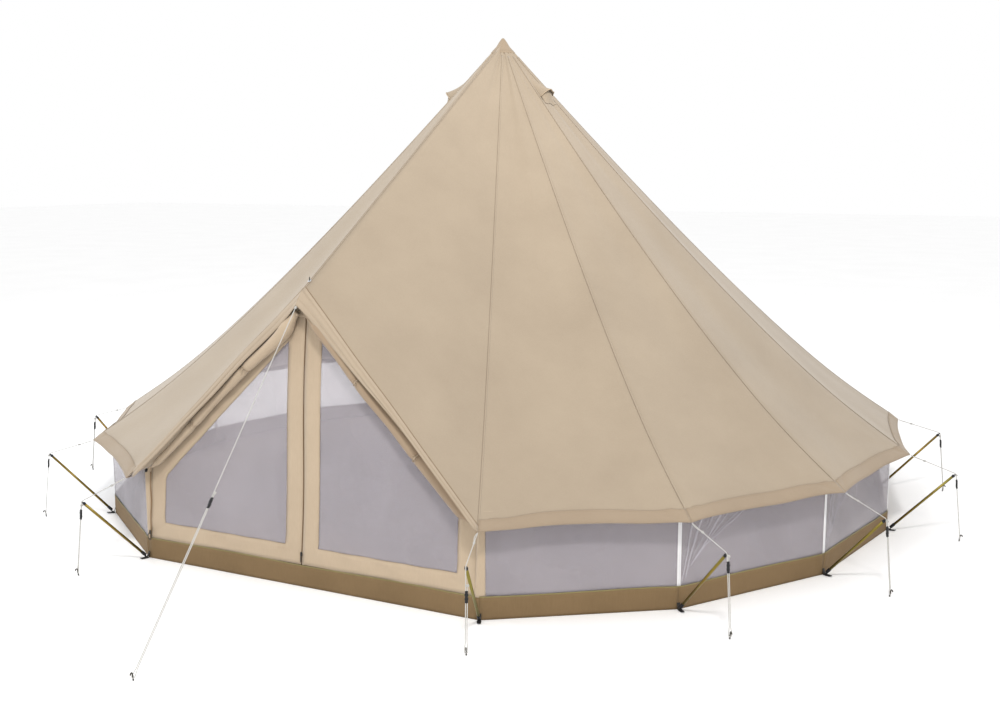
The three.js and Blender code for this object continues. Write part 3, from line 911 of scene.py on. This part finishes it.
def make_corner_zip():
    """The zip of the doorway's left corner with its slider and pull, and the flap's toggle above it."""
    line = []
    for rise in np.linspace(0.0, 0.44, 40):
        sway = 0.003 * sin(31 * rise) + 0.006 * sin(9 * rise)
        line.append(on_door(-outer_edge(rise) + 0.012 + sway, rise, 0.013))
    solid("corner_zip", [sweep(line, strap(0.007, 0.003), side=[1, 0.3, 0])], ZIP_TEETH)
    foot = line[3] + vec(0, -0.006, 0)
    slider = sweep([foot, foot + vec(0, 0, 0.024)], strap(0.013, 0.008), side=[1, 0.3, 0])
    pull = [foot + vec(0.004 + 0.012 * sin(t), -0.01, 0.024 * cos(t) - 0.012)
            for t in 2 * pi * steps(25)]
    solid("corner_pull", [slider, sweep(pull, circle(0.0022, 6))], DARK_STEEL, slot="black_plastic")
    bead = [(0.0, -0.016), (0.007, -0.013), (0.0095, -0.004), (0.0095, 0.004), (0.007, 0.013), (0.0, 0.016)]
    place = on_door(-SURROUND_X - 0.012, 0.45, 0.03)
    solid("flap_toggle", [turned(bead, place, (0.5, -0.2, 0.8), 16)], BLACK)


def leaf_folds(x, rise, side):
    """Slack in the leaf: a shallow billow, and creases that run down to the outer corner."""
    billow = 0.007 * sin(pi * min(1, x / 1.15)) * sin(pi * min(1, rise / 1.5))
    crease = 0.0055 * sin(44 * (rise + 0.55 * x) + side) * exp(-((rise - 0.06) / 0.11) ** 2)
    ripple = 0.0028 * sin(52 * rise + 3 * sin(4 * x)) * sin(pi * min(1, x / 1.1))
    slack = 0.003 * sin(11 * (rise - 0.9 * x) + 2 * side) * exp(-((x - 0.9) / 0.4) ** 2)
    return (billow + crease + ripple + slack) * min(1, 8 * x) * ease(rise / 0.06)


def leaf_points(side, lift):
    """A leaf's points row by row: its rows and columns fall on the inner edges of its border."""
    slope = SLOPE_BORDERS[side]
    mesh_top = SURROUND_PEAK - (LEAF_BORDER + slope) / DOOR_GRADE
    points = []
    for rise in spans((0.006, LEAF_BORDER, mesh_top, LEAF_TOP), LEAF_ROWS):
        edge = outer_edge(rise)
        near = max(ZIP_GAP + 0.001, min(LEAF_BORDER, edge * LEAF_BORDER / (LEAF_BORDER + slope)))
        far = max(near, min(SURROUND_X - LEAF_SIDE, (SURROUND_PEAK - rise) * DOOR_GRADE - slope))
        for x in spans((ZIP_GAP, near, far, edge), LEAF_COLUMNS):
            shift = zip_sway(rise) * max(0, 1 - x / 0.4)
            points.append(on_door(side * x + shift, rise, leaf_folds(x, rise, side) + lift))
    return points


def hinge_blend(piece):
    """Bakes the piece's transform into its mesh."""
    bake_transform(piece)


def make_leaf(label, side):
    """A leaf of the doorway: mesh in a border of canvas, stitched along the border's inner edge."""
    leaf = f"door_leaf_{label}"
    points, raised = leaf_points(side, 0.0), leaf_points(side, 0.0016)
    inner, field, _ = LEAF_COLUMNS
    rows, columns, low = sum(LEAF_ROWS) + 1, sum(LEAF_COLUMNS) + 1, LEAF_ROWS[0]
    grid = grid_faces(rows, columns)
    mesh = cloth(f"leaf_mesh_{label}", [(points, grid)], MESH, 0.0006)
    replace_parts(mesh, leaf)
    rim = [face for face in grid if face[0] < low * columns or not inner <= face[0] % columns < inner + field]
    border = cloth(f"leaf_border_{label}", [(raised, rim)], TRIM, 0.0012)
    start, end = low * columns + inner, (rows - LEAF_ROWS[2] - 1) * columns
    lines = [range(start, end, columns), range(start + field, end, columns), range(start, start + field + 1)]
    threads = [sweep([raised[i] + DOOR_OUT * 0.0014 for i in line], circle(0.0008, 5)) for line in lines]
    stitches = solid(f"leaf_thread_{label}", threads, STITCH)
    for piece in (mesh, border, stitches):
        piece.parent = None
        hinge_blend(piece)


def make_zip(label, side):
    """Half of the centre zip: woven tape with its row of teeth, on the free edge of a leaf."""
    leaf = f"door_leaf_{label}"
    rises = np.linspace(0.012, LEAF_TOP - 0.05, 90)
    tape = [on_door(side * 0.005 + zip_sway(rise), rise, 0.0006) for rise in rises]
    solid(f"zip_tape_{label}", [sweep(tape, strap(0.0085, 0.0014), side=[1, 0, 0])], ZIP_TAPE, leaf)
    teeth = []
    for rise in 0.02 + 0.005 * np.arange(300):
        ends = [on_door(side * 0.0016 + zip_sway(rise) + half, rise, 0.0022) for half in (-0.0022, 0.0022)]
        teeth.append(sweep(ends, strap(0.0026, 0.0022)))
    solid(f"zip_teeth_{label}", teeth, ZIP_TEETH, leaf)


def make_zip_slider():
    body = [on_door(0, rise, 0.0055) for rise in (0.06, 0.063, 0.072, 0.081, 0.084)]
    pull = [on_door(0, 0.066, 0.0075), on_door(0, 0.056, 0.0085), on_door(0, 0.036, 0.0075),
            on_door(0, 0.019, 0.0065)]
    parts = [
        sweep(body, strap(0.0135, 0.0062), scales=[0.7, 0.95, 1, 0.9, 0.6], side=[1, 0, 0]),
        sweep(pull, strap(0.008, 0.0026), scales=[0.6, 0.9, 1, 0.9], side=[1, 0, 0]),
    ]
    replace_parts(solid("zip_slider", parts, BLACK, "door_zip_slider"), "door_zip_slider")


def make_header():
    """The gusset of canvas that closes the door wall under the peak."""
    def point(t, u):
        rise = LEAF_TOP - 0.09 + t * (SURROUND_PEAK - LEAF_TOP + 0.085)
        half = max(0.004, outer_edge(min(rise, SURROUND_PEAK - 0.006)) + 0.008)
        return on_door(u * half, rise, 0.006 + 0.003 * (1 - u * u))

    gusset = cloth("door_header", [lattice(steps(12), np.linspace(-1, 1, 13), point)], TRIM, 0.0016)
    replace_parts(gusset, "door_surround")


def make_storm_flap():
    """The flap of doubled canvas over the doorway's peak and along both slopes, and the spike's grommet."""
    def point(t, u):
        share = (0.99 if u > 0 else 0.95) * abs(u) ** 1.5
        beak = exp(-share / 0.06)
        fade = 0.3 * ease((share - 0.35) / 0.6) if u < 0 else 0.85 * ease((share - 0.12) / 0.55)
        pleats = 0.0045 * abs(sin(2 * pi * t + 0.4 * sin(9 * share))) * ease(share / 0.1)
        bulge = (0.004 + 0.004 * beak) * sin(pi * t) + pleats
        depth = (1 - fade) * (1 + 0.05 * sin(17 * share))
        hang = vec(0, -0.022 - 0.044 * beak, -0.078 - 0.006 * beak) * depth
        return edge_point(1 if u >= 0 else -1, share) + hang * t + vec(0, -bulge, 0.002)

    rows, columns = 17, 91
    flap = lattice(steps(rows), np.linspace(-1, 1, columns), point)
    cloth("storm_flap", [flap], FLAP_CLOTH, 0.0018)
    threads = []
    for row in (rows // 2, rows - 2):
        line = np.array(flap[0][row * columns + 2 : (row + 1) * columns - 2]) + vec(0, -0.0017, 0)
        threads.append(sweep(line, circle(0.0007, 5)))
    solid("flap_thread", threads, STITCH)
    ring = [(0.006, 0), (0.0115, 0), (0.012, 0.001), (0.0105, 0.0024), (0.006, 0.0024)]
    solid("spike_grommet", [turned(ring, (0, -2.582, 1.8545), (0, -0.53, 0.85), 24)], STEEL)


def roll_radius(side, t):
    """The roll is fuller at the top, t = 1, and drawn in where it is tied and at its ends."""
    low, growth = ROLL_SIZES[side]
    radius = (low + growth * t * t) * (1 + 0.07 * sin(9 * t) + 0.06 * sin(21 * t + 1))
    for tie in ROLL_TIES:
        radius *= 1 - 0.14 * exp(-(((t - tie) / 0.014) ** 2))
    return radius * (0.3 + 0.7 * ease(t / 0.05)) * (0.45 + 0.55 * ease((1 - t) / 0.09))


def roll_centre(side, t):
    """The roll's centreline: it hangs a little inside the slope of the doorway, lower on the left."""
    run = unit([SURROUND_X, SURROUND_SHOULDER - SURROUND_PEAK])
    low, high, belly = ROLL_INSETS[side]
    inset = low + (high - low) * ease(t / 0.35) + 0.004 * sin(13 * t)
    inset += belly * (ease((t - 0.6) / 0.28) - 0.7 * ease((t - 0.88) / 0.12))
    along = 0.1 + (ROLL_ENDS[side] - 0.1) * (1 - t)
    x = run[0] * along + run[1] * inset
    rise = SURROUND_PEAK + run[1] * along - run[0] * inset
    return on_door(side * x, rise, 0.053)


def make_roll(label, side):
    """A door flap rolled outward along its slope and tied: many turns of cloth, flattened a little."""
    rows, columns, around = 90, 123, 20
    path = [roll_centre(side, t) for t in steps(rows)]
    points = []
    for t, centre, out, across in zip(steps(rows), path, *path_frames(path, DOOR_OUT)):
        radius = roll_radius(side, t)
        for column, share in enumerate(steps(columns)):
            turn = 2 * pi * column / around * side
            wobble = 1 + 0.07 * sin(2 * turn + 5 * t) + 0.03 * sin(5 * turn - 9 * t)
            spoke = cos(turn) * across + sin(turn) * out
            points.append(centre + radius * (0.25 + 0.75 * share) * wobble * spoke)
    parts = [(points, grid_faces(rows, columns))]
    # Painted light and shade: the left roll takes the lighter trim cloth to lift it out of the flap's shadow,
    # and the right roll takes the darker rolled cloth as painted shade.
    piece = cloth(f"rolled_flap_{label}", parts, TRIM if side < 0 else ROLL_CLOTH_PAINTED_SHADE, 0.0014, weld=False)
    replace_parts(piece, f"door_roll_{label}")


def make_roll_ties(label, side):
    """Tapes tied round the roll, each with a small bow."""
    parts = []
    for tie in ROLL_TIES:
        radius, centre = roll_radius(side, tie) * 1.04, roll_centre(side, tie)
        along = unit(roll_centre(side, tie + 0.01) - centre)
        out = unit(DOOR_OUT - along * np.dot(DOOR_OUT, along))
        across = np.cross(out, along)
        ring = [centre + radius * (cos(t) * across + 1.02 * sin(t) * out) for t in 2 * pi * steps(33)]
        knot_at = centre + out * radius * 1.05
        bead = [knot_at + along * reach for reach in (-0.005, 0, 0.005)]
        parts.extend([sweep(ring, strap(0.002, 0.01)), sweep(bead, circle(0.004, 8), [0.6, 1, 0.6])])
        for lean in (-1, 1):
            bow = [knot_at + (out * 0.004 + along * lean * 0.015) * sin(pi * t)
                   + across * 0.01 * sin(2 * pi * t) for t in np.linspace(0.05, 0.95, 15)]
            tail = [knot_at + (along * lean * 0.006 + vec(0, -0.004, -0.035)) * t for t in (0, 0.3, 0.7, 1)]
            parts.extend(sweep(path, strap(0.005, 0.0012)) for path in (bow, tail))
    solid(f"roll_ties_{label}", parts, TRIM)


def make_roll_strip(label, side):
    """The part of the flap that isn't rolled: it joins the roll to the edge of the roof."""
    def point(t, u):
        edge = edge_point(side, 1 - t) + vec(0, 0.012, -0.006)
        centre = roll_centre(side, t) - DOOR_OUT * 0.012
        low = centre + unit(edge - centre) * roll_radius(side, t) * 0.8
        return edge + (low - edge) * u

    cloth(f"flap_strip_{label}", [lattice(np.linspace(0.02, 1, 60), steps(5), point)], CANVAS, 0.0014)


SIDES = (("left", -1), ("right", 1))

for door_half in SIDES:
    make_leaf(*door_half)
for door_half in SIDES:
    make_zip(*door_half)
make_zip_slider()
make_header()
make_storm_flap()
make_door_posts()
make_corner_zip()
for door_half in SIDES:
    make_roll(*door_half)
    make_roll_ties(*door_half)
    make_roll_strip(*door_half)

# ---------- groundsheet


def tray_point(wall, up, across):
    """A point on the outside of the tray's wall. Wall 14 runs under the doorway."""
    low_a = polar(corner_angle(wall), WALL_R, 0)
    low_b = polar(corner_angle(wall + 1) if wall < CORNERS - 1 else DOOR_HALF, WALL_R, 0)
    outward = unit(np.cross(low_b - low_a, [0, 0, 1]))
    span = np.linalg.norm(low_b - low_a)
    run, phase = across * span, 1.9 * wall
    bow = min(1, 10 * across, 10 * (1 - across))
    fold = 0.0022 * (1 + sin(11 * run + phase)) + 0.001 * (1 + sin(27 * run + 14 * up + phase))
    near = min(across, 1 - across) * span
    crease = 0.009 * exp(-near / 0.13) * sin(5 * atan2(near + 0.004, 0.03 + 0.13 * up))
    slack = (fold * bow + abs(crease) * min(1, 30 * near)) * 1.8 * up * (1.3 - up)
    height = 0.001 + up * (TRAY_H + 0.0015) - 0.003 * sin(5 * run + phase) * up * bow
    return low_a + (low_b - low_a) * across + outward * (slack + 0.0012) + vec(0, 0, height)


def make_groundsheet():
    """The tray: its walls, a floor of shrinking rings that close on the centre, and its bound top edge."""
    walls = range(CORNERS)
    parts = [lattice(steps(8), steps(56), tray_point, wall) for wall in walls]
    ring = [tray_point(wall, 0, across) for wall in walls for across in steps(24)[:-1]]
    shares = (1.0, 0.97, 0.9, 0.75, 0.55, 0.35, 0.15)
    floor = []
    for share in shares:
        for index, point in enumerate(ring):
            lift = 0.0 if share == 1 else 0.0012 * (1 + sin(0.31 * index + 9 * share))
            floor.append(vec(point[0] * share, point[1] * share, 0.001 + lift))
    faces = grid_faces(len(shares), len(ring), wrap=True)
    centre, last = len(floor), len(floor) - len(ring)
    faces += [(last + i, last + (i + 1) % len(ring), centre) for i in range(len(ring))]
    parts.append(([*floor, vec(0, 0, 0.0015)], faces))
    piece = cloth("tray_sheet", parts, SHEET, 0.0014)
    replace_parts(piece, "groundsheet")
    binding = []
    for wall in walls:
        edge = [tray_point(wall, 1, across) for across in steps(40)]
        binding.append(sweep(edge, strap(0.0035, 0.009), side=unit(np.cross(edge[-1] - edge[0], [0, 0, 1]))))
    solid("tray_binding", binding, BINDING)


make_groundsheet()

# ---------- poles


def make_pole(name, profile):
    piece = solid(f"pole_{name}", [turned(profile, (0, 0, 0), (0, 0, 1), 32)], STEEL, weld=True)
    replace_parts(piece, f"centre_pole_{name}")


def make_poles():
    """The lower section stands in a foot, and the upper one has the socket."""
    make_pole("lower", [
        (0.0, 0.0045), (0.05, 0.0045), (0.055, 0.0085), (0.054, 0.0145), (0.026, 0.0185), (0.0205, 0.0345),
        (0.0205, 0.0495), (0.019, 0.0515), (0.019, 1.74), (0.0185, 1.75)])
    make_pole("upper", [
        (0.019, 1.7505), (0.0218, 1.7515), (0.0222, 1.755), (0.0222, 1.836), (0.0212, 1.84), (0.019, 1.842),
        (0.019, 3.405), (0.017, 3.415), (0.013, 3.43), (0.006, 3.44)])


def make_frame_half(label, side):
    """Half of the door frame: a bent tube on a plate, with a sleeve. The left one has hub and spike."""
    top, elbow = vec(0, -2.582, 1.762), vec(side * 1.18, -2.684, 0.562)
    foot = vec(side * 1.18, -2.7, 0.0045)
    first = top if side < 0 else top + unit(elbow - top) * 0.034
    joint = first + unit(elbow - first) * 0.82
    plate = [(0.0, 0), (0.022, 0), (0.024, 0.002), (0.022, 0.005), (0.013, 0.008), (0.0125, 0.03),
             (0.011, 0.031)]
    sleeve = [(0.011, 0), (0.0128, 0.002), (0.0128, 0.07), (0.011, 0.072)]
    hub = [(0.002, -0.017), (0.009, -0.015), (0.015, -0.008), (0.017, 0), (0.015, 0.008), (0.009, 0.015),
           (0.0045, 0.018), (0.0043, 0.022)]
    spike = [(0.0042, 0.02), (0.004, 0.06), (0.0038, 0.1), (0.0032, 0.11), (0.0016, 0.116)]
    parts = [
        sweep(rounded_path([first, elbow, foot + vec(0, 0, 0.004)], 0.16, 12), circle(0.011, 20)),
        turned(plate, foot, (0, 0, 1), 24),
        turned(sleeve, joint, elbow - first, 20),
    ]
    if side < 0:
        parts.append(turned(hub, top, (0, 0, 1), 20))
        solid("frame_spike", [turned(spike, top, (0, 0, 1), 16)], DARK_STEEL, weld=True)
    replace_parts(solid(f"frame_{label}", parts, STEEL), f"door_frame_{label}")


def make_strut(corner):
    """A corner strut: anodised tube in a black foot, with a forked black cap that holds the line."""
    label = f"{corner + 1:02d}"
    angle = corner_angle(corner)
    _, tip, _, _ = line_places(corner)
    foot = polar(angle, *STRUT_FOOT)
    along = unit(tip - foot)
    end = np.linalg.norm(tip - foot) - STRUT_TIP_GAP
    tube = [(0.0, 0.03), (0.0085, 0.03), (0.0085, end - 0.012), (0.0, end - 0.012)]
    piece = solid(f"strut_tube_{label}", [turned(tube, foot, along, 24)], ANODISED, weld=True)
    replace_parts(piece, f"strut_{label}")
    bottom = [(0.006, 0), (0.0098, 0.002), (0.0105, 0.006), (0.0105, 0.034), (0.0098, 0.039), (0.0086, 0.04)]
    cap = [(0.0086, end - 0.02), (0.0098, end - 0.019), (0.0103, end - 0.017), (0.0103, end - 0.009),
           (0.0088, end - 0.006), (0.0045, end - 0.005)]
    parts = [turned(bottom, foot, along, 20), turned(cap, foot, along, 20)]
    across = unit(np.cross(along, [0, 0, 1]))
    for sign in (-1, 1):
        fork = [foot + across * sign * 0.0063 + along * (end + reach) for reach in (-0.011, 0, 0.008)]
        parts.append(sweep(fork, strap(0.003, 0.008), [1, 0.9, 0.6], side=across))
    outward, sideways = polar(angle, 1, 0), polar(angle + pi / 2, 1, 0)
    heel = polar(angle, WALL_R + 0.006, 0.0035)
    plate = [heel, heel + outward * 0.02, heel + outward * 0.046, heel + outward * 0.058 + vec(0, 0, 0.004)]
    parts.append(sweep(plate, strap(0.026, 0.0045), [0.8, 1, 0.9, 0.45], side=sideways))
    parts.append(sweep([heel + outward * 0.018, foot + along * 0.006], strap(0.013, 0.007), side=sideways))
    solid(f"strut_fittings_{label}", parts, BLACK)


def make_corner_loops():
    """Webbing at every eave corner that the line is tied to, and at every ground corner."""
    eave, ground = [], []
    for angle in map(corner_angle, range(CORNERS)):
        side = polar(angle + pi / 2, 1, 0)
        upper = polar(angle, EAVE_R - 0.045, seam_height(EAVE_R - 0.045) - 0.012)
        outer = polar(angle, GUY_START[0] + 0.004, GUY_START[1] + 0.001)
        under = polar(angle, EAVE_R - 0.04, seam_height(EAVE_R - 0.04) - 0.019)
        eave.append(sweep(rounded_path([upper, outer, under], 0.006), strap(0.012, 0.0014), side=side))
        tab = [polar(angle, WALL_R - 0.001, 0.045), polar(angle, WALL_R + 0.01, 0.012),
               polar(angle, WALL_R + 0.03, 0.006)]
        ground.append(sweep(rounded_path(tab, 0.01, 5), strap(0.022, 0.002), side=side))
    solid("eave_loops", eave, TRIM)
    solid("ground_tabs", ground, DARK_WEB)


def make_pegs():
    """Pegs driven in beside their lines: only the hooked heads stand above the ground."""
    anchors, pegs = [], []
    for corner in range(CORNERS):
        angle, _, peg, sideways = line_places(corner)
        anchors.append((peg, sideways, polar(angle, 1, 0)))
    anchors.append((DOOR_GUY_PEG, vec(1, 0, 0), vec(0, -1, 0)))
    for peg, sideways, outward in anchors:
        inside = peg + sideways * STRANDS / 2 + vec(0, 0, 0.004)
        hook = [inside * [1, 1, 0] - outward * 0.004]
        for out, height in ((-0.002, 0.004), (0.001, 0.02), (0.006, 0.027), (0.013, 0.023), (0.015, 0.015)):
            hook.append(inside + outward * out + vec(0, 0, height))
        pegs.append(sweep(rounded_path(hook, 0.006, 4), circle(0.004, 12)))
    solid("peg_heads", pegs, DARK_STEEL)


make_poles()
for frame_half in SIDES:
    make_frame_half(*frame_half)
for strut_corner in range(CORNERS):
    make_strut(strut_corner)
make_corner_loops()
make_pegs()

# ---------- stage and light


def make_stage():
    size = 60
    data = bpy.data.meshes.new("floor")
    square = [(-size, -size, 0), (size, -size, 0), (size, size, 0), (-size, size, 0)]
    data.from_pydata(square, [], [(0, 1, 2, 3)])
    floor = bpy.data.objects.new("floor", data)
    bpy.context.scene.collection.objects.link(floor)
    floor.location.z = -0.0015
    look = Look("pale_floor", 0.95)
    look.colour(look.noise(0.8), (0.96, 0.96, 0.96), (0.985, 0.985, 0.985))
    data.materials.append(look.material)


def add_area(name, location, target, size, power, colour):
    light = bpy.data.lights.new(name, "AREA")
    light.shape = "DISK"
    light.size = size
    light.energy = power
    light.color = colour
    lamp = bpy.data.objects.new(name, light)
    bpy.context.scene.collection.objects.link(lamp)
    lamp.location = location
    lamp.rotation_euler = (Vector(target) - Vector(location)).to_track_quat("-Z", "Y").to_euler()
    lamp.visible_camera = False


def make_light():
    world = bpy.data.worlds.new("studio")
    bpy.context.scene.world = world
    world.use_nodes = True
    background = world.node_tree.nodes["Background"]
    background.inputs["Color"].default_value = (1, 1, 1, 1)
    background.inputs["Strength"].default_value = 1.0
    add_area("key", (4.5, -8.0, 8.8), (0.3, -0.8, 1.2), 1.2, 540, (1.0, 0.98, 0.95))
    add_area("peak", (1.6, -1.2, 4.6), (0.3, -0.4, 2.95), 0.5, 21, (1.0, 0.98, 0.95))
    add_area("fill", (-10, -4, 5.0), (0, 0, 1.5), 5.0, 330, (0.86, 0.93, 1.0))
    bpy.context.scene.view_settings.view_transform = "Standard"
    bpy.context.scene.view_settings.look = "None"


make_stage()
make_light()
